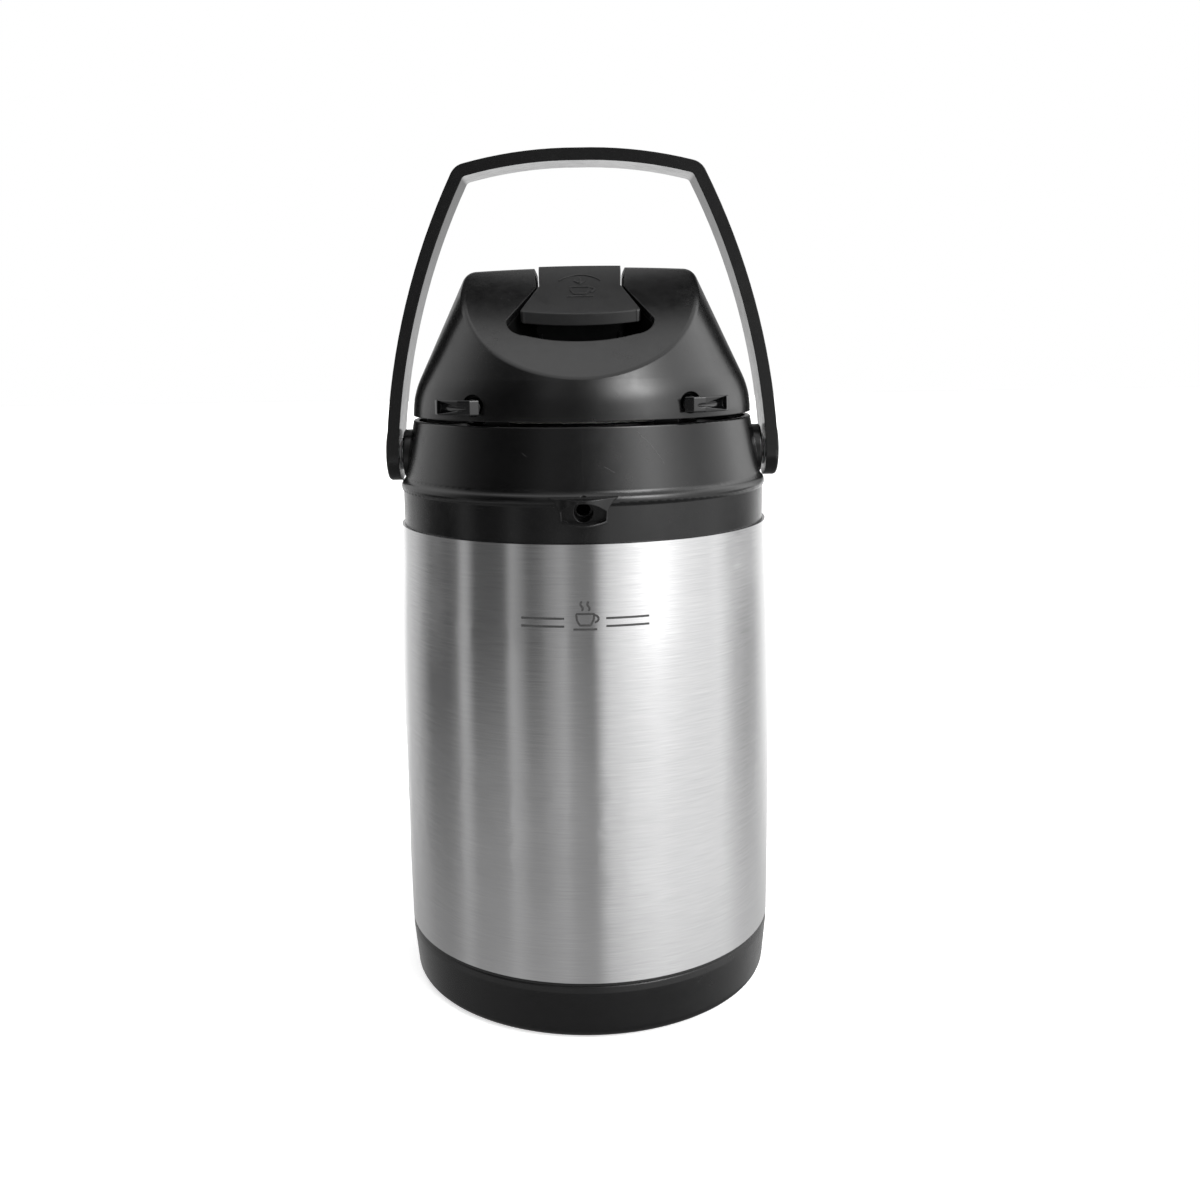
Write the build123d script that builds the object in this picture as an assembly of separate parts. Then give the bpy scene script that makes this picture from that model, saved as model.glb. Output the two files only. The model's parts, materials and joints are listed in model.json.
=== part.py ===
from build123d import *
import math
import os

# Thermal coffee airpot, millimetres. The origin is the centre of the resting face, +Z is up
# and the pouring spout points to -Y.

# ---- driving dimensions -------------------------------------------------------------------
SHELL_R = 84.4          # steel body, outside, at its widest
SHELL_TOP = 211.6       # where the steel disappears under the collar
BASE_TOP = 26.4         # where the steel disappears into the base ring
SHEET = 0.8             # steel sheet thickness
WALL = 2.4              # moulded wall thickness
SKIRT_R, SKIRT_LOW = 78.4, 9.5       # the shell's stepped-in lower end, inside the base ring
LINER_R = 76.0
NECK_R = 40.0           # filling mouth, inside

BAND_R = 81.2           # vertical band of the collar
LIP_R = 82.0            # rounded lip above the band
COLLAR_TOP = 257.5
RIM_R = 75.6            # collar and lid meet here
LID_BOTTOM = 259.5
LID_TOP = 323.2
SHOULDER_R = 38.0       # rounding of the lid's lower side, in section
CONE_LEAN = 25.4        # lean of the lid's side above that, in degrees
CROWN_R = 7.0           # rounding between the lid's side and its top
DOME = 1.5              # rise of the slightly domed top
FACET_SLOPE = 34.8      # slope of the lid's flat front, in degrees
FACET_Z = 326.3         # height of that flat where it crosses the axis

HINGE_Y, HINGE_Z = 81.6, 256.0      # lid hinge, at the back
LEVER_Y, LEVER_Z = 48.0, 304.0      # lever hinge, near the back of the lid
LATCH_Y, LATCH_Z = -42.0, 266.0     # latch bar pivot
PUMP_Y = 12.0                       # pump axis
BAIL_Z = 241.7                      # carrying handle pivot
TUBE_Y = -33.0                      # riser tube axis
TUBE_R, TUBE_BORE = 3.8, 2.8

RUN = 0.05              # radial clearance of a running fit


# ---- helpers ------------------------------------------------------------------------------
def turned(points, centre_y=0.0):
    """A solid turned about a vertical axis from (radius, height) points."""
    face = Plane.XZ * make_face(Polyline(*points, close=True))
    return Pos(0, centre_y, 0) * revolve(face, Axis.Z)


def ring(outer, inner, low, high, centre_x=0.0, centre_y=0.0):
    tube = Cylinder(outer, high - low) - Cylinder(inner, high - low)
    return Pos(centre_x, centre_y, (low + high) / 2) * tube


def disc(radius, low, high, centre_x=0.0, centre_y=0.0):
    return Pos(centre_x, centre_y, (low + high) / 2) * Cylinder(radius, high - low)


def rod_x(radius, x0, x1, y, z):
    return Pos((x0 + x1) / 2, y, z) * Rot(0, 90, 0) * Cylinder(radius, abs(x1 - x0))


def rod_y(radius, y0, y1, x, z):
    return Pos(x, (y0 + y1) / 2, z) * Rot(90, 0, 0) * Cylinder(radius, abs(y1 - y0))


def block(x0, x1, y0, y1, z0, z1):
    return Pos((x0 + x1) / 2, (y0 + y1) / 2, (z0 + z1) / 2) * Box(x1 - x0, y1 - y0, z1 - z0)


def both_sides(solid):
    return solid + mirror(solid, Plane.YZ)


def column(face, low, high):
    """A plan outline raised from one height to another."""
    return extrude(Plane.XY.offset(low) * face, high - low)


def side_prism(points, x0, x1):
    """A (y, z) outline swept along X."""
    return extrude(Plane.YZ.offset(x0) * make_face(Polyline(*points, close=True)), x1 - x0)


# ---- flask ------------------------------------------------------------------------------
def shell_wall(inset, low, high):
    """The steel body's profile: nearly straight, drawn in a little towards the collar."""
    narrower = [
        (0.4, low), (0.15, 50.0), (0.05, 90.0), (0.0, 128.0), (0.2, 152.0), (0.85, 175.0), (1.65, 194.0),
    ]
    points = [(SHELL_R - inset - drop, z) for drop, z in narrower]
    return Spline(*points, (SHELL_R - inset - 2.0, high))


def make_outer_shell():
    skirt, neck = SKIRT_R, NECK_R + 2 * SHEET
    top_skirt = 79.2
    outside = shell_wall(0, BASE_TOP + 0.1, SHELL_TOP - 0.1)
    inside = shell_wall(SHEET, BASE_TOP + 0.9, SHELL_TOP - 0.9)
    upper = Polyline(
        outside @ 1, (top_skirt, SHELL_TOP - 0.1), (top_skirt, 219.0), (76.0, 223.0), (70.0, 225.5),
        (46.0, 234.0), (neck, 237.5), (neck, 247.0), (neck - SHEET, 247.0), (neck - SHEET, 236.9),
        (45.6, 233.2),
        (69.8, 224.6), (75.6, 222.2), (top_skirt - SHEET, 218.7), (top_skirt - SHEET, SHELL_TOP - 0.9),
        inside @ 1,
    )
    lower = Polyline(
        inside @ 0, (skirt - SHEET, BASE_TOP + 0.9), (skirt - SHEET, SKIRT_LOW), (skirt, SKIRT_LOW),
        (skirt, BASE_TOP + 0.1), outside @ 0,
    )
    return revolve(Plane.XZ * make_face(Curve() + [outside, upper, inside, lower]), Axis.Z)


def make_inner_liner():
    neck = NECK_R + SHEET
    return turned([
        (0, 14.0), (66.0, 14.0), (73.0, 17.0), (LINER_R, 24.0), (LINER_R, 206.0), (72.0, 214.0),
        (64.0, 219.0), (44.4, 227.0), (neck, 231.0), (neck, 247.0), (neck + SHEET, 247.0),
        (neck + SHEET, 247.8), (NECK_R, 247.8), (NECK_R, 230.6), (43.9, 226.3), (63.6, 218.2),
        (71.4, 213.4), (LINER_R - SHEET, 205.7), (LINER_R - SHEET, 24.2), (72.5, 17.7),
        (65.8, 14.8), (0, 14.8),
    ])


def make_base_ring():
    outer = 83.8
    foot = 82.2
    edge = 5.0
    low = 0.2
    arc_mid = edge * (1 - math.sin(math.radians(45)))
    bead = 24.9
    outline = [
        Line((64.3, low), (foot - edge, low)),
        ThreePointArc((foot - edge, low), (foot - arc_mid, low + arc_mid), (foot, low + edge)),
        Line((foot, low + edge), (outer, bead - 3.0)),
        Line((outer, bead - 3.0), (outer, bead - 0.3)),
        Line((outer, bead - 0.3), (outer - 0.35, bead)),
        Line((outer - 0.35, bead), (outer, bead + 0.3)),
        Line((outer, bead + 0.3), (outer, BASE_TOP)),
        Line((outer, BASE_TOP), (SKIRT_R + 0.2, BASE_TOP)),
        Line((SKIRT_R + 0.2, BASE_TOP), (SKIRT_R + 0.2, SKIRT_LOW)),
        Line((SKIRT_R + 0.2, SKIRT_LOW), (76.4, 5.0)),
        Line((76.4, 5.0), (0, 5.0)),
        Line((0, 5.0), (0, 3.0)),
        Line((0, 3.0), (64.3, 3.0)),
        Line((64.3, 3.0), (64.3, low)),
    ]
    return revolve(Plane.XZ * make_face(Curve() + outline), Axis.Z)


def make_foot_pad():
    pad = disc(64.0, 0.0, 3.0)
    return chamfer(pad.edges().filter_by(GeomType.CIRCLE).sort_by(Axis.Z)[0], 0.6)


# ---- collar -----------------------------------------------------------------------------
DUCT_MOUTH = (-83.2, 225.5)          # (y, z) where the duct opens into the beak
HOOK_X = 35.0           # the latch's two hooks, either side of the middle


def duct_solid(radius, mouth=DUCT_MOUTH):
    path = FilletPolyline(
        (0, TUBE_Y, 236.5), (0, TUBE_Y, 252.0), (0, -68.0, 252.0), (0, -71.0, 231.0), (0, *mouth),
        radius=[6.0, 6.0, 5.0],
    )
    return sweep(Plane((0, TUBE_Y, 236.5), z_dir=(0, 0, 1)) * Circle(radius), path=path)


def beak_solid():
    """The pouring beak: a short bulge below the lip, narrower at its rim than at its root."""
    outline = [
        ThreePointArc((-9.6, 222.4), (-10.2, 226.8), (-14.0, 230.4)),
        Line((-14.0, 230.4), (14.0, 230.4)),
        ThreePointArc((14.0, 230.4), (10.2, 226.8), (9.6, 222.4)),
        Line((9.6, 222.4), (9.3, 220.6)),
        ThreePointArc((9.3, 220.6), (0, 219.2), (-9.3, 220.6)),
        Line((-9.3, 220.6), (-9.6, 222.4)),
    ]
    front = Plane.XZ.offset(76.0) * make_face(Curve() + outline)
    nose_r, nose_y = 16.0, -75.2
    beak = extrude(front, 20.0) & disc(nose_r, 215.0, 235.0, 0, nose_y)
    middles = [(edge, edge.position_at(0.5)) for edge in beak.edges()]
    nose_edges = [
        edge for edge, p in middles if p.Z < 230 and abs(math.hypot(p.X, p.Y - nose_y) - nose_r) < 0.02
    ]
    beak = fillet(nose_edges, 0.5)
    top_slope = side_prism([(-80.0, 232.2), (-93.0, 229.6), (-93.0, 236.0), (-80.0, 236.0)], -20, 20)
    return beak - top_slope


def beak_hollow():
    """The arched opening in the beak's front, with the pouring slot in its floor."""
    back = 84.6
    outline = [
        ThreePointArc((-8.7, 221.6), (0, 220.2), (8.7, 221.6)),
        Line((8.7, 221.6), (9.0, 225.4)),
        ThreePointArc((9.0, 225.4), (0, 228.7), (-9.0, 225.4)),
        Line((-9.0, 225.4), (-8.7, 221.6)),
    ]
    arch = extrude(Plane.XZ.offset(back) * make_face(Curve() + outline), 10.0)
    slot = disc(14.8, 215.0, 223.0, 0, -75.2) & block(-6.5, 6.5, -95.0, -back, 215.0, 223.0)
    return arch + slot


def make_collar():
    outline = [
        Line((79.4, SHELL_TOP), (BAND_R, SHELL_TOP)),
        Line((BAND_R, SHELL_TOP), (BAND_R, 226.4)),
        ThreePointArc((BAND_R, 226.4), (LIP_R - 0.2, 227.2), (LIP_R, 228.2)),
        ThreePointArc((LIP_R, 228.2), (LIP_R - 0.3, 229.9), (LIP_R - 1.2, 231.0)),
        ThreePointArc((LIP_R - 1.2, 231.0), (80.2, 231.9), (79.9, 233.2)),
        Line((79.9, 233.2), (RIM_R + 0.1, COLLAR_TOP - 0.6)),
        ThreePointArc(
            (RIM_R + 0.1, COLLAR_TOP - 0.6), (RIM_R - 0.1, COLLAR_TOP - 0.2), (RIM_R - 0.6, COLLAR_TOP)
        ),
        Line((RIM_R - 0.6, COLLAR_TOP), (73.4, COLLAR_TOP)),
        Line((73.4, COLLAR_TOP), (73.6, 253.0)),
        Line((73.6, 253.0), (52.0, 253.0)),
        Line((52.0, 253.0), (52.0, 256.8)),
        Line((52.0, 256.8), (48.0, 256.8)),
        Line((48.0, 256.8), (44.0, 252.0)),
        Line((44.0, 252.0), (44.0, 240.0)),
        Line((44.0, 240.0), (46.0, 240.0)),
        Line((46.0, 240.0), (46.0, 251.0)),
        Line((46.0, 251.0), (74.6, 251.0)),
        Line((74.6, 251.0), (77.6, 233.8)),
        Line((77.6, 233.8), (79.4, 229.0)),
        Line((79.4, 229.0), (79.4, SHELL_TOP)),
    ]
    body = revolve(Plane.XZ * make_face(Curve() + outline), Axis.Z)
    boss = rod_x(11.0, 72.0, 80.5, 0, BAIL_Z)
    boss = fillet(boss.edges().filter_by(GeomType.CIRCLE).sort_by(Axis.X)[-1], 0.8)
    body += both_sides(boss)
    inner_room = disc(76.2, 229.0, 250.9)
    body -= both_sides(rod_x(9.0, 60.0, 75.2, 0, BAIL_Z) & inner_room)
    body += beak_solid() - disc(79.4, 200.0, 240.0)
    knuckle_arm = [(75.0, 250.5), (81.6, 252.0), (81.6, 257.0), (76.8, 256.9), (74.6, 256.9)]
    knuckle = side_prism(knuckle_arm, 12.4, 22.0) + rod_x(4.0, 12.4, 22.0, HINGE_Y, HINGE_Z)
    body += both_sides(knuckle)
    body -= rod_x(2.0, -30, 30, HINGE_Y, HINGE_Z)
    body -= both_sides(rod_x(4.0, 70.0, 90.0, 0, BAIL_Z))
    body -= beak_hollow()
    body -= duct_solid(TUBE_R + 0.02, mouth=(-87.0, 223.8))
    body -= both_sides(block(HOOK_X - 7.0, HOOK_X + 7.0, -55.5, -46.0, 250.0, 254.0))
    return body


def make_delivery_duct():
    return duct_solid(TUBE_R) - duct_solid(TUBE_BORE)


def make_tube_foot():
    foot = ring(5.2, TUBE_R, 20.0, 30.0, 0, TUBE_Y) + ring(5.2, TUBE_BORE, 16.0, 20.0, 0, TUBE_Y)
    return foot - block(-1.5, 1.5, TUBE_Y - 8, TUBE_Y + 8, 15.0, 18.6)


# ---- lid --------------------------------------------------------------------------------
def lid_body(inset, low=LID_BOTTOM):
    """The lid's outer form moved inwards by a wall thickness."""
    lean = math.radians(CONE_LEAN)
    centre = (RIM_R - SHOULDER_R, LID_BOTTOM)
    arc_r = SHOULDER_R - inset
    knee = (centre[0] + arc_r * math.cos(lean), centre[1] + arc_r * math.sin(lean))
    top_edge = LID_TOP - DOME - inset
    rise = top_edge - knee[1]
    crown = (knee[0] - rise * math.tan(lean), top_edge)
    dome_r = (crown[0] ** 2 + DOME ** 2) / (2 * DOME)
    dome_centre = LID_TOP - inset - dome_r
    dome_mid = (crown[0] / 2, dome_centre + math.sqrt(dome_r ** 2 - (crown[0] / 2) ** 2))
    skirt = [Line((RIM_R - inset, low), (RIM_R - inset, LID_BOTTOM))] if low < LID_BOTTOM else []
    outline = skirt + [
        Line((0, low), (RIM_R - inset, low)),
        CenterArc(centre, arc_r, 0, CONE_LEAN),
        Line(knee, crown),
        ThreePointArc(crown, dome_mid, (0, LID_TOP - inset)),
        Line((0, LID_TOP - inset), (0, low)),
    ]
    face = make_face(Curve() + outline)
    corner = face.vertices().sort_by_distance(Vector(*crown))[0]
    face = fillet(corner, CROWN_R - inset)
    body = revolve(Plane.XZ * face, Axis.Z)
    slope = math.radians(FACET_SLOPE)
    normal = Vector(0, -math.sin(slope), math.cos(slope))
    plane = Plane(Vector(0, 0, FACET_Z) - normal * inset, x_dir=(1, 0, 0), z_dir=normal)
    return body - plane * Pos(0, 0, 60) * Box(300, 300, 120)


def mirrored_plan(right, front_y, back_y, half_back, grow):
    """A closed plan from its right-hand outline, grown or shrunk all round."""
    middle = [Line((0, front_y), (0, back_y)), Line((0, back_y), (half_back, back_y))]
    face = make_face(Curve() + right + middle)
    face = face + mirror(face, Plane.YZ)
    return offset(face, grow) if grow else face


def pocket_outline(grow=0.0):
    """Plan of the opening around the lever: a straight groove that flares into a finger pocket."""
    half_back, half_neck, half_front = 20.0, 18.9, 31.0
    right = [
        Line((half_back, 80.0), (half_back, -6.0)),
        Line((half_back, -6.0), (half_neck, -17.0)),
        Line((half_neck, -17.0), (half_front, -37.4)),
        ThreePointArc((half_front, -37.4), (29.6, -43.0), (23.0, -47.0)),
        ThreePointArc((23.0, -47.0), (12.0, -49.9), (0, -50.8)),
    ]
    return mirrored_plan(right, -50.8, 80.0, half_back, grow)


def lever_outline(inset=0.0):
    half_back, half_neck, half_front = 18.1, 17.6, 25.2
    right = [
        Line((half_back, 75.0), (half_back, -6.0)),
        Line((half_back, -6.0), (half_neck, -16.5)),
        Line((half_neck, -16.5), (half_front, -31.6)),
        ThreePointArc((half_front, -31.6), (25.2, -33.0), (23.6, -33.8)),
        ThreePointArc((23.6, -33.8), (12.0, -35.2), (0, -35.6)),
    ]
    return mirrored_plan(right, -35.6, 75.0, half_back, -inset)


SCREW_SPOTS = [(57.0, -6.0), (36.0, 50.0), (-57.0, -6.0), (-36.0, 50.0)]
STEM_X, STEM_Z = 44.2, 265.2
TRAY_FLOOR = 298.6
WELL_FLOOR = 273.0
WELL_BACK = -14.0


def make_lid_shell():
    outer = lid_body(0)
    creases = [e for e in outer.edges() if e.geom_type not in (GeomType.CIRCLE, GeomType.LINE)]
    outer = fillet(creases, 3.0)
    shell = outer - lid_body(WALL, low=LID_BOTTOM - 5)
    bosses = [disc(4.0, 262.4, 305.0, x, y) for x, y in SCREW_SPOTS]
    shell += [boss & lid_body(WALL / 2) for boss in bosses]
    front_half = block(-60, 60, -60, 0, 270, 340)
    back_half = block(-60, 60, 0, 90, TRAY_FLOOR, 340)
    shell -= column(pocket_outline(), 270, 340) & (front_half + back_half)
    shell -= [disc(1.5, 262.0, 275.0, x, y) for x, y in SCREW_SPOTS]
    shell -= both_sides(rod_y(4.3, -75.0, -50.0, STEM_X, STEM_Z + 0.6))
    arm_outline = [(72.4, 260.4), (72.4, 268.6), (75.0, 268.6), (84.6, 258.6), (79.4, 253.4), (77.9, 257.0)]
    arm = side_prism(arm_outline, -12, 12)
    arm += rod_x(4.0, -12.0, 12.0, HINGE_Y, HINGE_Z)
    shell += arm - lid_body(WALL, low=LID_BOTTOM - 1)
    return shell - rod_x(2.0 + RUN, -15, 15, HINGE_Y, HINGE_Z)


def make_lever_tray():
    inside = lid_body(WALL + 0.05)
    front = block(-60, 60, -60, WELL_BACK + 1.6, WELL_FLOOR - 1.6, 340)
    back = block(-60, 60, WELL_BACK, 90, TRAY_FLOOR - 1.6, 340)
    tray = column(pocket_outline(1.6), 265, 340) & (front + back) & inside
    front_room = block(-60, 60, -60, WELL_BACK, WELL_FLOOR, 340)
    back_room = block(-60, 60, WELL_BACK - 1, 90, TRAY_FLOOR, 340)
    tray -= column(pocket_outline(), 265, 340) & (front_room + back_room)
    rib = block(16.6, 18.4, WELL_BACK - 2.2, WELL_BACK, WELL_FLOOR, TRAY_FLOOR - 4.0)
    tray += both_sides(rib)
    tray -= disc(6.8, 280, 310, 0, PUMP_Y)
    return tray - rod_x(1.6, -30, 30, LEVER_Y, LEVER_Z)


def make_lid_base():
    base = disc(RIM_R - WALL - 0.4, 260.0, 262.4)
    bracket = block(48.4, 50.9, LATCH_Y - 4, LATCH_Y + 4, 262.4, LATCH_Z + 3.6)
    base += both_sides(bracket)
    base += ring(27.0, 24.6, 262.4, 268.0, 0, PUMP_Y)
    base -= rod_x(1.5, -60, 60, LATCH_Y, LATCH_Z)
    base -= both_sides(block(HOOK_X - 7.0, HOOK_X + 7.0, -55.5, -43.0, 259.0, 263.0))
    base -= both_sides(block(STEM_X - 3.8, STEM_X + 3.8, -62.0, -37.0, 261.4, 263.0))
    base -= disc(5.0, 255, 265, 0, PUMP_Y)
    return base - [disc(1.5, 255, 265, x, y) for x, y in SCREW_SPOTS]


def make_lid_screws():
    screw = disc(3.0, 258.6, 260.0) + disc(1.5, 260.0, 274.0)
    screw -= block(-1.9, 1.9, -0.3, 0.3, 258.0, 259.3)
    return Part() + [Pos(x, y, 0) * screw for x, y in SCREW_SPOTS]


def make_bellows():
    low, high, outer, inner, skin, folds = 262.6, 292.6, 23.8, 19.6, 0.9, 5
    pitch = (high - low) / folds
    outside, inside = [], []
    for fold in range(folds):
        z = low + fold * pitch
        outside += [(inner, z), (outer, z + pitch / 2)]
        inside += [(inner - skin, z), (outer - 1.3 * skin, z + pitch / 2)]
    outside.append((inner, high))
    inside.append((inner - skin, high))
    return turned(outside + inside[::-1], PUMP_Y)


def make_plunger():
    plate = disc(21.5, 293.0, 295.8, 0, PUMP_Y)
    stem = disc(6.0, 295.8, 311.2, 0, PUMP_Y)
    stem = fillet(stem.edges().filter_by(GeomType.CIRCLE).sort_by(Axis.Z)[-1], 2.0)
    return plate + stem


def make_return_spring():
    radius, wire, low, high, turns = 11.0, 0.8, 263.4, 291.8, 5
    coil = Helix(pitch=(high - low) / turns, height=high - low, radius=radius)
    start = Plane(origin=coil @ 0, z_dir=coil % 0)
    return Pos(0, PUMP_Y, low) * sweep(start * Circle(wire), path=coil)


def make_air_nozzle():
    nozzle = ring(7.0, 5.0, 248.0, 260.0, 0, PUMP_Y) + ring(11.0, 5.0, 258.4, 260.0, 0, PUMP_Y)
    return nozzle


def make_air_valve():
    cup = ring(8.2, 7.0, 248.0, 252.0, 0, PUMP_Y) + disc(8.2, 247.0, 248.0, 0, PUMP_Y)
    return cup - block(-3.0, 3.0, PUMP_Y - 0.2, PUMP_Y + 0.2, 246.0, 249.0)


def sloping_edges(solid, proud):
    """The edges that bound the lever's sloping front, which stands proud of the lid's flat."""
    slope = math.radians(FACET_SLOPE)

    def height(edge, t):
        p = edge.position_at(t)
        return -math.sin(slope) * p.Y + math.cos(slope) * (p.Z - FACET_Z) - proud

    edges = [e for e in solid.edges() if max(abs(height(e, 0.15)), abs(height(e, 0.5))) < 0.02]
    return [e for e in edges if e.position_at(0.5).Z < LID_TOP - 0.7]


def make_lever():
    proud, skin, skirt, edge = 0.7, 1.9, 3.4, 2.2
    slab = lid_body(-proud) & column(lever_outline(), 292, 340)
    slab -= block(-40, 40, WELL_BACK, 90, 280, TRAY_FLOOR + 1.0)
    lever = slab - lid_body(skirt)
    lever -= column(lever_outline(edge), 290, 345) & lid_body(skin)
    lug = block(13.0, 17.0, LEVER_Y - 4, LEVER_Y + 4, LEVER_Z, 325)
    lug += rod_x(4.0, 13.0, 17.0, LEVER_Y, LEVER_Z)
    lever += both_sides(lug & lid_body(0.4))
    pusher = block(-5.0, 5.0, PUMP_Y - 5, PUMP_Y + 5, 312.0, 322.5)
    lever += pusher
    lever = fillet(sloping_edges(lever, proud), 0.8)
    return lever - rod_x(1.6 + RUN, -30, 30, LEVER_Y, LEVER_Z)


# ---- latch ------------------------------------------------------------------------------
def make_latch_bar():
    bar = block(-47.6, 47.6, LATCH_Y - 4, LATCH_Y + 4, LATCH_Z - 3.2, LATCH_Z + 3.4)
    bar += both_sides(rod_y(3.2, -64.0, LATCH_Y, STEM_X, STEM_Z))
    low, high = HOOK_X - 5.0, HOOK_X + 5.0
    hook = block(low, high, -50.6, -48.0, 249.0, LATCH_Z)
    hook += block(low, high, -50.6, -45.0, LATCH_Z - 3.2, LATCH_Z)
    hook += side_prism([(-48.0, 249.0), (-46.4, 250.6), (-48.0, 252.6)], low, high)
    return bar + both_sides(hook) - rod_x(1.5 + RUN, -60, 60, LATCH_Y, LATCH_Z)


def make_latch_tab():
    plan = [
        (41.4, -65.2), (45.0, -66.6), (50.0, -65.0), (59.0, -56.4), (60.4, -53.4), (59.4, -51.6),
        (54.2, -56.0), (49.4, -60.2), (46.6, -62.4), (41.8, -63.6),
    ]
    low, high = 261.9, 268.2
    tab = column(make_face(Polyline(*plan, close=True)), low, high)
    flat_edges = tab.edges().filter_by_position(Axis.Z, low, low)
    flat_edges += tab.edges().filter_by_position(Axis.Z, high, high)
    tab = fillet(flat_edges, 0.6)
    narrow, wide = Vector(46.2, -67.0, 264.6), Vector(59.6, -56.0, 265.3)
    along = wide - narrow
    scoop = Plane(origin=(narrow + wide) * 0.5, z_dir=along) * Cone(0.4, 2.9, along.length)
    return tab - scoop - rod_y(3.2, -64.0, -50.0, STEM_X, STEM_Z)


def make_latch_spring():
    foot = block(-8, 8, -36.0, -30.0, 262.4, 262.9)
    finger = side_prism([(-32.0, 262.9), (-31.4, 262.9), (-36.7, 266.4), (-37.1, 266.0)], -3, 3)
    return foot + finger


# ---- carrying handle --------------------------------------------------------------------
BAIL_DEPTH = 24.0
BAIL_THICK = 5.3
EYE_R = 12.0


def bail_region(inset):
    """The area under the handle's outline, moved inwards."""
    right = [
        Line((87.4, 215.0), (87.4, 242.0)),
        ThreePointArc((87.4, 242.0), (79.2, 298.0), (53.4, 366.6)),
        ThreePointArc((53.4, 366.6), (27.0, 371.9), (0, 373.4)),
    ]
    face = mirrored_plan(right, 373.4, 215.0, 87.4, 0)
    corners = [v for v in face.vertices() if v.Y > 360 and abs(v.X) > 30]
    face = fillet(corners, 8.0)
    return offset(face, -inset) if inset else face


def make_bail_handle():
    strap = bail_region(0) - bail_region(BAIL_THICK)
    strap = extrude(Plane.XZ * strap, BAIL_DEPTH / 2, both=True)
    strap &= block(-100, 100, -20, 20, BAIL_Z, 400)
    eye = rod_x(EYE_R, 82.1, 87.9, 0, BAIL_Z)
    eye = fillet(eye.edges().filter_by(GeomType.CIRCLE).sort_by(Axis.X)[-1], 1.6)
    handle = strap + both_sides(eye)
    return handle - both_sides(rod_x(7.0 + RUN, 81.0, 86.7, 0, BAIL_Z))


def make_bush(side):
    bush = rod_x(7.0, 81.8, 86.6, 0, BAIL_Z) - rod_x(4.0 + RUN, 80.0, 88.0, 0, BAIL_Z)
    return bush if side > 0 else mirror(bush, Plane.YZ)


def make_pivot_pin(side):
    pin = rod_x(4.0, 74.0, 86.4, 0, BAIL_Z) + rod_x(6.0, 72.6, 74.0, 0, BAIL_Z)
    return pin if side > 0 else mirror(pin, Plane.YZ)


# ---- all the pieces -----------------------------------------------------------------------
PIECES = {
    "outer_shell": make_outer_shell(),
    "inner_liner": make_inner_liner(),
    "shell_bottom": disc(SKIRT_R - SHEET, SKIRT_LOW, SKIRT_LOW + SHEET),
    "vacuum_seal_cap": disc(8.0, SKIRT_LOW - 1.7, SKIRT_LOW),
    "base_ring": make_base_ring(),
    "foot_pad": make_foot_pad(),
    "collar": make_collar(),
    "neck_seal": ring(44.0, NECK_R + 2 * SHEET, 240.2, 247.6),
    "shoulder_ring": turned([(48.0, 233.6), (56.0, 230.7), (56.0, 236.0), (48.0, 239.0)]),
    "riser_tube": ring(TUBE_R, TUBE_BORE, 20.0, 236.0, 0, TUBE_Y),
    "riser_tube_foot": make_tube_foot(),
    "tube_coupler": ring(5.6, TUBE_R, 226.0, 245.0, 0, TUBE_Y),
    "delivery_duct": make_delivery_duct(),
    "lid_hinge_pin": rod_x(2.0, -22.6, 22.6, HINGE_Y, HINGE_Z),
    "pivot_pin_left": make_pivot_pin(-1),
    "pivot_pin_right": make_pivot_pin(1),
    "lid_shell": make_lid_shell(),
    "lid_base": make_lid_base(),
    "lid_gasket": ring(52.4, 47.6, 257.3, 260.0),
    "lid_screws": make_lid_screws(),
    "lever_tray": make_lever_tray(),
    "lever_pin": rod_x(1.6, -21.4, 21.4, LEVER_Y, LEVER_Z),
    "bellows": make_bellows(),
    "return_spring": make_return_spring(),
    "air_nozzle": make_air_nozzle(),
    "air_valve": make_air_valve(),
    "latch_pin": rod_x(1.5, -50.9, 50.9, LATCH_Y, LATCH_Z),
    "latch_spring": make_latch_spring(),
    "pump_lever": make_lever(),
    "plunger": make_plunger(),
    "latch_bar": make_latch_bar(),
    "latch_tab_left": mirror(make_latch_tab(), Plane.YZ),
    "latch_tab_right": make_latch_tab(),
    "bail_bush_left": make_bush(-1),
    "bail_bush_right": make_bush(1),
    "bail_handle": make_bail_handle(),
}

os.makedirs("parts", exist_ok=True)
for name, piece in PIECES.items():
    export_step(piece, f"parts/{name}.step")
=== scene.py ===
import json
import math

import bpy
from mathutils import Matrix, Vector
from mathutils.bvhtree import BVHTree


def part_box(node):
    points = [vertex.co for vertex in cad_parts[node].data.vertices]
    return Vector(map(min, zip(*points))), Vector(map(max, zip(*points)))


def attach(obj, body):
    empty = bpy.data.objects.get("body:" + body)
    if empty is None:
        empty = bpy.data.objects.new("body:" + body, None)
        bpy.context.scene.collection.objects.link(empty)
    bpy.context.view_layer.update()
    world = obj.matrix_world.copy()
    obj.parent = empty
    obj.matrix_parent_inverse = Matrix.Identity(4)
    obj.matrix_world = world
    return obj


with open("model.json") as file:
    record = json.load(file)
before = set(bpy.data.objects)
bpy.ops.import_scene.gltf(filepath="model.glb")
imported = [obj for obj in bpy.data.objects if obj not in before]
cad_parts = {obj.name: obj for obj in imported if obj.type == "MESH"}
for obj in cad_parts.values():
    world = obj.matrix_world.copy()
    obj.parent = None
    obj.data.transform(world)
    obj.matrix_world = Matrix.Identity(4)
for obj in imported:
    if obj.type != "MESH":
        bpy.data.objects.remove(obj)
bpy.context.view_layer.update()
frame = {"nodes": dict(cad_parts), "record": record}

NODES = frame["nodes"]
SHELL_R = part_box("outer_shell")[1].x    # widest radius of the steel body, in metres


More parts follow.
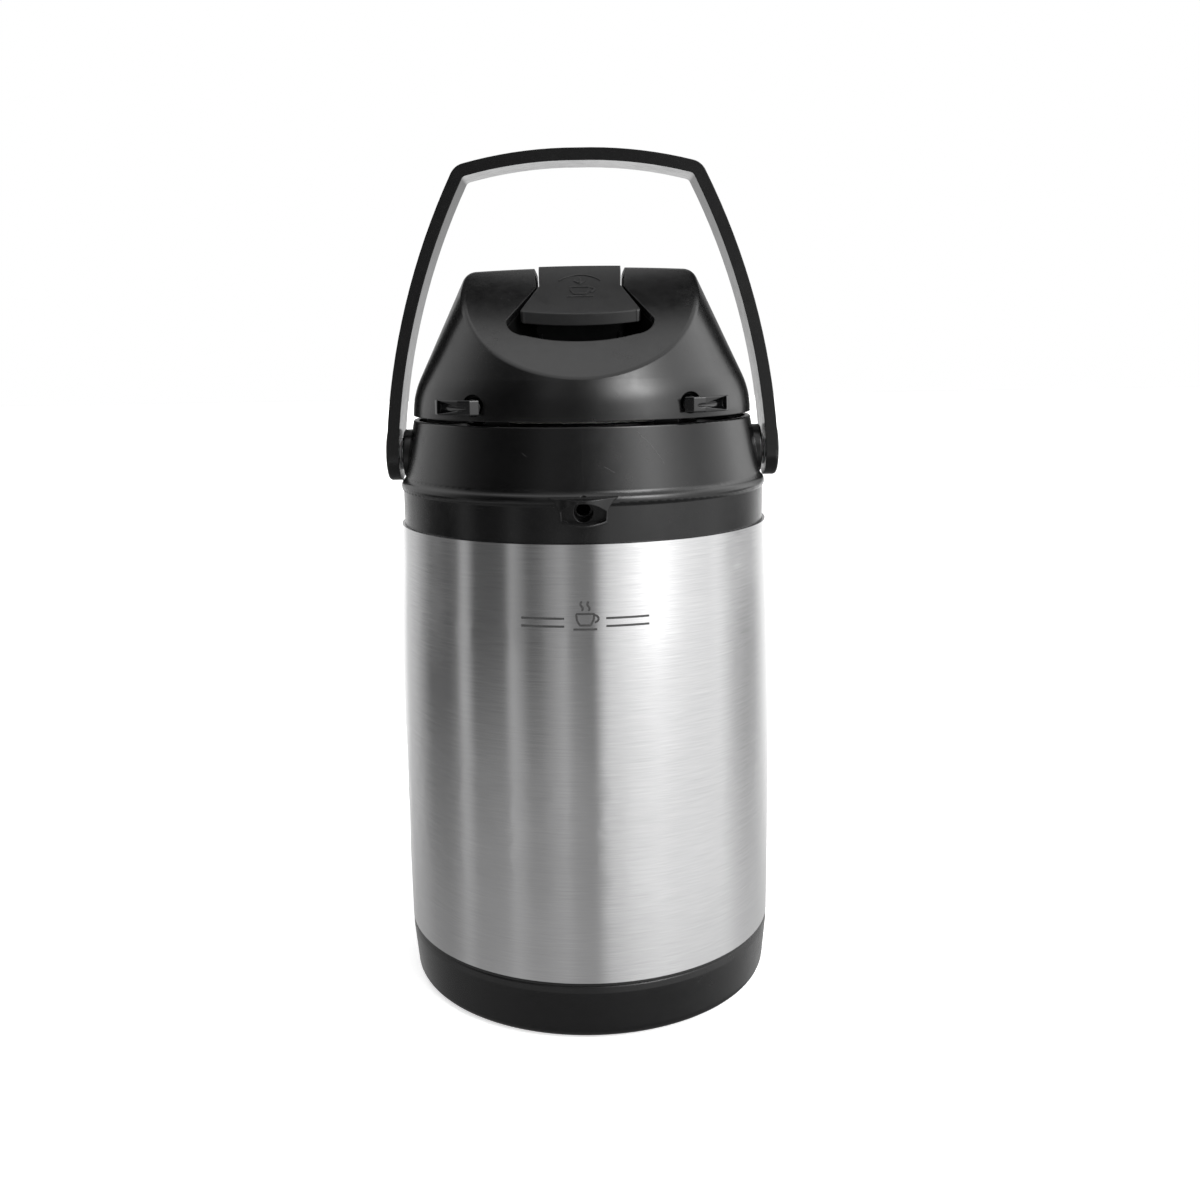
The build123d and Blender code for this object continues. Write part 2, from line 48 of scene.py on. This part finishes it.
# ---- camera -------------------------------------------------------------------------------
def make_camera():
    """Eye level with the lid, looking slightly down, as a tabletop product shot."""
    distance, height = 0.578, 0.2909
    pitch, roll = math.radians(8.9), -0.0162
    data = bpy.data.cameras.new("camera")
    data.sensor_width = 36.0
    data.lens = 38.1
    data.shift_x = 0.0134
    data.shift_y = -0.0498
    data.clip_start = 0.01
    camera = bpy.data.objects.new("camera", data)
    turn = Matrix.Rotation(math.radians(90) - pitch, 4, "X") @ Matrix.Rotation(roll, 4, "Z")
    camera.matrix_world = Matrix.Translation((0, -distance, height)) @ turn
    bpy.context.collection.objects.link(camera)
    bpy.context.scene.camera = camera


# ---- node helpers -------------------------------------------------------------------------
class Nodes:
    """A small wrapper that keeps node trees readable."""

    def __init__(self, tree):
        self.tree = tree
        self.tree.nodes.clear()

    def add(self, kind, inputs=None, **settings):
        node = self.tree.nodes.new(kind)
        for name, value in settings.items():
            setattr(node, name, value)
        for name, value in (inputs or {}).items():
            self.feed(node.inputs[name], value)
        return node

    def feed(self, socket, value):
        if isinstance(value, bpy.types.NodeSocket):
            self.tree.links.new(value, socket)
        elif isinstance(value, bpy.types.Node):
            self.tree.links.new(value.outputs[0], socket)
        else:
            socket.default_value = value

    def math(self, operation, a, b=0.0, c=0.0, clamp=False):
        node = self.add("ShaderNodeMath", operation=operation, use_clamp=clamp)
        for socket, value in zip(node.inputs, (a, b, c)):
            self.feed(socket, value)
        return node.outputs[0]

    def ramp(self, factor, stops, interpolation="EASE"):
        node = self.add("ShaderNodeValToRGB", {"Fac": factor})
        node.color_ramp.interpolation = interpolation
        elements = node.color_ramp.elements
        while len(elements) > 1:
            elements.remove(elements[-1])
        for index, (position, grey) in enumerate(stops):
            element = elements[0] if index == 0 else elements.new(position)
            element.position = position
            element.color = grey if len(grey) == 4 else (*grey, 1)
        return node.outputs[0]

    def map_range(self, value, low, high, to_low, to_high):
        node = self.add("ShaderNodeMapRange", {"Value": value, "From Min": low, "From Max": high,
                                               "To Min": to_low, "To Max": to_high})
        return node.outputs[0]


def grey(value, alpha=1.0):
    return (value, value, value, alpha)


# ---- world and floor ------------------------------------------------------------------------
# The studio is a ring of soft panels around the airpot, at four heights. Each entry is a compass
# angle in degrees, measured from the camera's side towards +X, and the brightness there.
WALLS = [
    (-180, 0.5), (-150, 0.55), (-135, 0.8), (-120, 1.0), (-105, 0.85), (-90, 0.4), (-75, 0.12), (-55, 0.02),
    (-40, 0.04), (-30, 0.3), (-22, 0.55), (-12, 0.28), (-4, 0.2), (5, 0.4), (12, 0.8), (22, 3.4), (32, 8.5),
    (44, 13.0), (54, 6.4), (64, 3.0), (80, 1.9), (100, 2.2), (115, 2.4), (128, 1.6), (140, 0.8), (150, 0.3),
    (165, 0.4), (180, 0.5),
]
MID_WALLS = [
    (-180, 0.5), (-134, 0.8), (-105, 0.78), (-80, 0.2), (-59, 0.03), (-40, 0.03), (-30, 0.16), (-22, 0.28),
    (-12, 0.18), (-4, 0.15), (5, 0.28), (12, 0.52), (22, 1.15), (32, 2.1), (44, 3.6), (54, 2.5), (64, 1.65),
    (80, 1.08), (100, 1.6), (115, 2.1), (128, 1.45), (140, 0.75), (150, 0.3), (165, 0.4), (180, 0.5),
]
LOW_WALLS = [
    (-180, 1.5), (-155, 1.2), (-146, 0.8), (-130, 0.62), (-118, 0.28), (-110, 0.02), (-92, 0.0), (-85, 0.1),
    (-80, 0.62), (-76, 0.5), (-71, 0.06), (-55, 0.1), (-50, 0.12), (-45, 0.62), (-40, 0.42), (-34, 0.08),
    (-27, 0.1), (-19, 0.36), (-13, 0.6), (-7, 0.26), (5, 0.06), (9, 0.7), (13, 1.08), (32, 1.0), (50, 0.95),
    (88, 1.12), (103, 0.5), (116, 0.34), (127, 0.5), (142, 1.05), (160, 1.4), (180, 1.5),
]
TABLE = [
    (-180, 0.5), (-150, 0.42), (-100, 0.38), (-85, 0.5), (-45, 0.56), (4, 0.54), (14, 0.78), (30, 1.02),
    (70, 1.1), (95, 0.98), (115, 0.75), (145, 0.62), (180, 0.55),
]
OVERHEAD, UNDER = 0.65, 0.22


def make_world():
    world = bpy.data.worlds.new("studio")
    world.use_nodes = True
    n = Nodes(world.node_tree)
    direction = n.add("ShaderNodeTexCoord").outputs["Generated"]
    x, y, z = n.add("ShaderNodeSeparateXYZ", {"Vector": direction}).outputs
    angle = n.math("ARCTAN2", x, n.math("MULTIPLY", y, -1.0))
    around = n.map_range(angle, -math.pi, math.pi, 0.0, 1.0)

    def ring(panels):
        peak = max(value for _, value in panels)
        stops = [((compass + 180) / 360, grey(value / peak)) for compass, value in panels]
        return n.math("MULTIPLY", n.ramp(around, stops, "LINEAR"), peak)

    def step(low, high):
        return n.add("ShaderNodeMapRange", {"Value": z, "From Min": low, "From Max": high},
                     interpolation_type="SMOOTHSTEP").outputs[0]

    def mix(factor, a, b):
        return n.add("ShaderNodeMix", {"Factor": factor, "A": a, "B": b}, data_type="FLOAT").outputs[0]

    level = mix(step(-0.62, -0.50), UNDER, ring(TABLE))
    level = mix(step(-0.46, -0.20), level, ring(LOW_WALLS))
    level = mix(step(-0.13, 0.02), level, ring(MID_WALLS))
    level = mix(step(0.35, 0.5), level, ring(WALLS))
    level = mix(step(0.66, 0.85), level, OVERHEAD)
    lit = n.add("ShaderNodeBackground", {"Color": level, "Strength": 1.0})
    seen = n.add("ShaderNodeBackground", {"Color": grey(1.0), "Strength": 1.0})
    path = n.add("ShaderNodeLightPath")
    shown = n.add("ShaderNodeMixShader", {0: path.outputs["Is Camera Ray"], 1: lit, 2: seen})
    n.add("ShaderNodeOutputWorld", {"Surface": shown})
    bpy.context.scene.world = world


def make_floor():
    """White sweep paper. It is lit a little from below, so that it meets the white backdrop."""
    data = bpy.data.meshes.new("floor")
    half = 6.0
    corners = [(-half, -half, 0), (half, -half, 0), (half, half, 0), (-half, half, 0)]
    data.from_pydata(corners, [], [(0, 1, 2, 3)])
    floor = bpy.data.objects.new("floor", data)
    bpy.context.collection.objects.link(floor)
    floor.location.z = -0.0002
    floor.visible_glossy = False
    material = bpy.data.materials.new("floor_paper")
    material.use_nodes = True
    n = Nodes(material.node_tree)
    grain = n.add("ShaderNodeTexNoise", {"Scale": 900.0, "Detail": 4.0})
    tone = n.ramp(grain.outputs["Fac"], [(0.3, grey(0.90)), (0.7, grey(0.93))])
    shader = n.add("ShaderNodeBsdfPrincipled", {"Base Color": tone, "Roughness": 0.9,
                                                "Emission Color": grey(1.0), "Emission Strength": 0.62})
    n.add("ShaderNodeOutputMaterial", {"Surface": shader})
    data.materials.append(material)


def area_light(name, place, target, size, power):
    data = bpy.data.lights.new(name, "AREA")
    data.shape = "RECTANGLE"
    data.size, data.size_y = size
    data.energy = power
    light = bpy.data.objects.new(name, data)
    light.location = place
    light.rotation_mode = "QUATERNION"
    light.rotation_quaternion = (Vector(target) - Vector(place)).to_track_quat("-Z", "Y")
    bpy.context.collection.objects.link(light)
    return light


def make_lights():
    area_light("top_softbox", (0.1, 0.1, 1.7), (0, 0, 0.2), (1.6, 1.6), 5.0)


# ---- materials ------------------------------------------------------------------------------
def new_material(name):
    material = bpy.data.materials.new(name)
    material.use_nodes = True
    return material, Nodes(material.node_tree)


def shade(n, bsdf_inputs, height=None, bump=0.0, distance=0.0002, soften=0.0):
    """Close a material: surface relief over edges that are softened by a small rounding."""
    if height is not None:
        relief = {"Height": height, "Strength": bump, "Distance": distance}
        if soften:
            relief["Normal"] = n.add("ShaderNodeBevel", {"Radius": soften}, samples=6)
        bsdf_inputs["Normal"] = n.add("ShaderNodeBump", relief)
    shader = n.add("ShaderNodeBsdfPrincipled", bsdf_inputs)
    n.add("ShaderNodeOutputMaterial", {"Surface": shader})


def cylinder_coords(n, around_scale, up_scale):
    """Object coordinates unrolled: along the circumference and up the wall, each with its own scale."""
    place = n.add("ShaderNodeTexCoord").outputs["Object"]
    x, y, z = n.add("ShaderNodeSeparateXYZ", {"Vector": place}).outputs
    angle = n.math("ARCTAN2", x, n.math("MULTIPLY", y, -1.0))
    arc = n.math("MULTIPLY", angle, SHELL_R * around_scale)
    up = n.math("MULTIPLY", z, up_scale)
    return n.add("ShaderNodeCombineXYZ", {"X": arc, "Y": up, "Z": 0.0}).outputs[0]


def brushed_steel():
    """Stainless steel brushed around the body."""
    material, n = new_material("brushed_steel")
    fine = cylinder_coords(n, 70.0, 5200.0)
    broad = cylinder_coords(n, 30.0, 1700.0)
    lines = n.add("ShaderNodeTexNoise", {"Vector": fine, "Scale": 1.0, "Detail": 3.0, "Roughness": 0.6})
    bands = n.add("ShaderNodeTexNoise", {"Vector": broad, "Scale": 1.0, "Detail": 4.0, "Roughness": 0.65})
    place = n.add("ShaderNodeTexCoord").outputs["Object"]
    cloud = n.add("ShaderNodeTexNoise", {"Vector": place, "Scale": 22.0, "Detail": 3.0})
    line_share = 0.65
    both = n.math("ADD", n.math("MULTIPLY", lines.outputs["Fac"], line_share),
                  n.math("MULTIPLY", bands.outputs["Fac"], 1.0 - line_share))
    dark, middle, light = (0.59, 0.59, 0.595), (0.655, 0.655, 0.66), (0.715, 0.715, 0.715)
    tone = n.ramp(both, [(0.34, dark), (0.5, middle), (0.66, light)], "LINEAR")
    rough = n.map_range(both, 0.3, 0.7, 0.19, 0.23)
    rough = n.math("ADD", rough, n.map_range(cloud.outputs["Fac"], 0.35, 0.7, -0.01, 0.03))
    tangent = n.add("ShaderNodeTangent", direction_type="RADIAL", axis="Z")
    shade(n, {"Base Color": tone, "Metallic": 1.0, "Roughness": rough, "Anisotropic": 0.89,
              "Anisotropic Rotation": 0.25, "Tangent": tangent}, height=both, bump=0.05, distance=0.00003)
    return material


def plain_steel(name, tone, rough):
    material, n = new_material(name)
    place = n.add("ShaderNodeTexCoord").outputs["Object"]
    fine = n.add("ShaderNodeTexNoise", {"Vector": place, "Scale": 900.0, "Detail": 2.0})
    cloud = n.add("ShaderNodeTexNoise", {"Vector": place, "Scale": 60.0, "Detail": 4.0})
    colour = n.ramp(cloud.outputs["Fac"], [(0.3, grey(tone * 0.9)), (0.7, grey(tone * 1.05))])
    shade(n, {"Base Color": colour, "Metallic": 1.0,
              "Roughness": n.map_range(cloud.outputs["Fac"], 0.3, 0.7, rough * 0.8, rough * 1.3)},
          height=fine.outputs["Fac"], bump=0.05, distance=0.00002)
    return material


def moulded(name, tone, rough, grain=2600.0, bump=0.12, soften=0.0005, shine=0.5):
    """Injection-moulded plastic: fine spark texture, faint flow marks, softly varied gloss."""
    material, n = new_material(name)
    place = n.add("ShaderNodeTexCoord").outputs["Object"]
    fine = n.add("ShaderNodeTexNoise", {"Vector": place, "Scale": grain, "Detail": 2.0, "Roughness": 0.6})
    flow = n.add("ShaderNodeTexNoise", {"Vector": place, "Scale": 18.0, "Detail": 5.0, "Roughness": 0.6,
                                        "Distortion": 0.4})
    scuff = n.add("ShaderNodeTexNoise", {"Vector": place, "Scale": 240.0, "Detail": 3.0})
    darker, lighter = (tuple(share * c for c in tone) for share in (0.88, 1.14))
    colour = n.ramp(flow.outputs["Fac"], [(0.3, darker), (0.7, lighter)])
    wear = n.math("MULTIPLY", flow.outputs["Fac"], scuff.outputs["Fac"])
    shade(n, {"Base Color": colour, "Specular IOR Level": shine,
              "Roughness": n.map_range(wear, 0.12, 0.42, rough * 0.86, rough * 1.18)},
          height=fine.outputs["Fac"], bump=bump, distance=0.00003, soften=soften)
    return material


def printed(name, tone, rough):
    """A thin layer of ink or a worn line: slightly uneven, with a little dust in it."""
    material, n = new_material(name)
    place = n.add("ShaderNodeTexCoord").outputs["Object"]
    speck = n.add("ShaderNodeTexNoise", {"Vector": place, "Scale": 1800.0, "Detail": 3.0})
    patch = n.add("ShaderNodeTexNoise", {"Vector": place, "Scale": 160.0, "Detail": 2.0})
    both = n.math("MULTIPLY", speck.outputs["Fac"], patch.outputs["Fac"])
    colour = n.ramp(both, [(0.12, grey(tone * 0.8)), (0.42, grey(tone * 1.3))])
    shade(n, {"Base Color": colour, "Roughness": rough},
          height=speck.outputs["Fac"], bump=0.1, distance=0.00002)
    return material


MATERIALS = {
    "brushed_shell": brushed_steel(),
    "liner_steel": plain_steel("liner_steel", 0.66, 0.22),
    "tube_steel": plain_steel("tube_steel", 0.7, 0.12),
    "pin_steel": plain_steel("pin_steel", 0.6, 0.2),
    "black_plastic": moulded("black_plastic", (0.0025, 0.0025, 0.0026), 0.24),
    "lever_plastic": moulded("lever_plastic", (0.005, 0.005, 0.0052), 0.36, grain=2200.0, bump=0.2),
    "gloss_black": moulded("gloss_black", (0.003, 0.003, 0.0032), 0.09, bump=0.03),
    "grey_plastic": moulded("grey_plastic", (0.34, 0.34, 0.35), 0.4),
    "silicone": moulded("silicone", (0.70, 0.69, 0.66), 0.45, grain=1200.0),
    # the well under the lever: a darker, duller black than black_plastic, its darkness painted shade for
    # the recess
    "well_black_painted_shade": moulded("well_black_painted_shade", (0.0016, 0.0016, 0.0016), 0.42, shine=0.2),
    "ink": printed("ink", 0.035, 0.45),
    "scuff": printed("scuff", 0.05, 0.5),
    "black_rubber": moulded("black_rubber", (0.024, 0.024, 0.024), 0.65, grain=1500.0, bump=0.3),
}


# ---- small surface details ------------------------------------------------------------------
def ribbon(points, width, cuts=6):
    """A flat line of even width through 2-D points in millimetres, as small quads."""
    dense = [points[0]]
    for a, b in zip(points, points[1:]):
        steps = [k / cuts for k in range(1, cuts + 1)]
        dense += [(a[0] + (b[0] - a[0]) * t, a[1] + (b[1] - a[1]) * t) for t in steps]
    left, right = [], []
    for i, (u, v) in enumerate(dense):
        before, after = dense[max(i - 1, 0)], dense[min(i + 1, len(dense) - 1)]
        du, dv = after[0] - before[0], after[1] - before[1]
        length = math.hypot(du, dv)
        nu, nv = -dv / length * width / 2, du / length * width / 2
        left.append((u + nu, v + nv))
        right.append((u - nu, v - nv))
    vertices = left + right
    count = len(left)
    faces = [(i, i + count, i + count + 1, i + 1) for i in range(count - 1)]
    return vertices, faces


def arc_points(cu, cv, ru, rv, start, end, count=16):
    angles = [math.radians(start + (end - start) * k / count) for k in range(count + 1)]
    return [(cu + ru * math.cos(a), cv + rv * math.sin(a)) for a in angles]


def skin(node):
    """A node's surface, to lay thin details on."""
    piece = NODES[node]
    points = [piece.matrix_world @ vertex.co for vertex in piece.data.vertices]
    return BVHTree.FromPolygons(points, [tuple(face.vertices) for face in piece.data.polygons])


def lay_on(surface, start, direction, proud):
    """The point just above the surface that a line from start meets."""
    spot, normal, _, _ = surface.ray_cast(Vector(start), Vector(direction))
    return spot + normal * proud


def surface_piece(name, lines, place, body, material, thickness):
    """Lines laid on a surface and thickened; place() turns (u, v) in mm into a point in metres."""
    vertices, faces = [], []
    for points, width in lines:
        more, quads = ribbon(points, width)
        base = len(vertices)
        vertices += [tuple(place(u, v)) for u, v in more]
        faces += [tuple(base + i for i in quad) for quad in quads]
    data = bpy.data.meshes.new(name)
    data.from_pydata(vertices, [], faces)
    piece = bpy.data.objects.new(name, data)
    bpy.context.collection.objects.link(piece)
    solid = piece.modifiers.new("thickness", "SOLIDIFY")
    solid.thickness = thickness
    solid.offset = 0.0
    data.materials.append(MATERIALS[material])
    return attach(piece, body)


def cup_lines(scale, width):
    """A plain cup on a saucer with two wisps of steam."""
    cup = [(-3.2, 3.0), (-2.9, 0.8), (-1.9, -1.0), (1.9, -1.0), (2.9, 0.8), (3.2, 3.0), (-3.2, 3.0)]
    handle = arc_points(3.0, 1.3, 1.7, 1.3, 80, -80)
    saucer = [(-4.2, -2.4), (4.2, -2.4)]
    steam = [[(x + 0.45 * math.sin(k * 1.1), 4.1 + k * 0.55) for k in range(7)] for x in (-1.2, 1.2)]
    lines = [cup, handle, saucer] + steam
    return [([(u * scale, v * scale) for u, v in line], width) for line in lines]


def around(surface, middle, proud):
    """Places on an upright round wall: u along the circumference at the front, v up from middle."""
    radius = SHELL_R * 1000

    def place(u, v):
        out = Vector((math.sin(u / radius), -math.cos(u / radius), 0))
        return lay_on(surface, out * 0.2 + Vector((0, 0, (middle + v) / 1000)), -out, proud)

    return place


def make_shell_mark():
    """The print on the steel: a cup between two pairs of rules."""
    rules = [([(side * 8.5, v), (side * 26.5, v)], 0.9) for side in (-1, 1) for v in (1.6, -1.6)]
    ink_depth = 0.00003
    place = around(skin("outer_shell"), 180.2, ink_depth)
    surface_piece("shell_mark", cup_lines(1.15, 0.85) + rules, place, "jug", "ink", ink_depth)


def make_collar_marks():
    """The mould line up the middle of the collar, and three fine scuffs."""
    place = around(skin("collar"), 233.4, 0.00002)
    seam = [([(0.0, 1.0), (0.0, 23.2)], 0.28)]
    surface_piece("collar_seam", seam, place, "jug", "black_plastic", 0.00008)
    scuffs = [([(24.0, 22.2), (30.4, 16.6), (35.0, 11.0), (36.2, 8.6)], 0.13),
              ([(9.2, 8.4), (13.5, 6.1)], 0.10), ([(-27.0, 14.0), (-24.6, 12.6)], 0.10)]
    surface_piece("collar_scuffs", scuffs, place, "jug", "scuff", 0.00003)


def make_lever_icon():
    """A raised cup with a downward arrow on the lever's slope."""
    lever = skin("pump_lever")
    slope = math.radians(34.8)
    up = Vector((0, math.cos(slope), math.sin(slope)))
    out = Vector((0, -math.sin(slope), math.cos(slope)))
    middle = Vector((0, -0.019, 0.3139))

    def place(u, v):
        return lay_on(lever, middle + Vector((u, 0, 0)) / 1000 + up * v / 1000 + out * 0.02, -out, 0.00006)

    arrow = [([(0, 7.6), (0, 3.4)], 1.0), ([(-2.6, 5.6), (0, 3.0), (2.6, 5.6)], 1.0)]
    cup = [([(u, v - 3.6) for u, v in line], width) for line, width in cup_lines(1.35, 0.9)[:3]]
    arch = [(arc_points(0, -1.0, 11.0, 11.0, 35, 145, 24), 0.8)]
    surface_piece("lever_icon", cup + arrow + arch, place, "lever", "lever_plastic", 0.0002)


def paint_frame():
    """Each CAD node gets the material of its slot, but the well under the lever gets a duller black whose
    darker colour is painted shade.
    """
    slots = {part["node"]: part["material_slot"] for part in frame["record"]["subparts"]}
    for node, piece in NODES.items():
        # the lever's well gets the darker black, painted shade in place of the black of its slot
        material = MATERIALS["well_black_painted_shade" if node == "lever_tray" else slots[node]]
        piece.data.materials.clear()
        piece.data.materials.append(material)


make_camera()
make_world()
make_floor()
make_lights()
paint_frame()
make_shell_mark()
make_collar_marks()
make_lever_icon()
bpy.context.scene.view_settings.view_transform = "Standard"
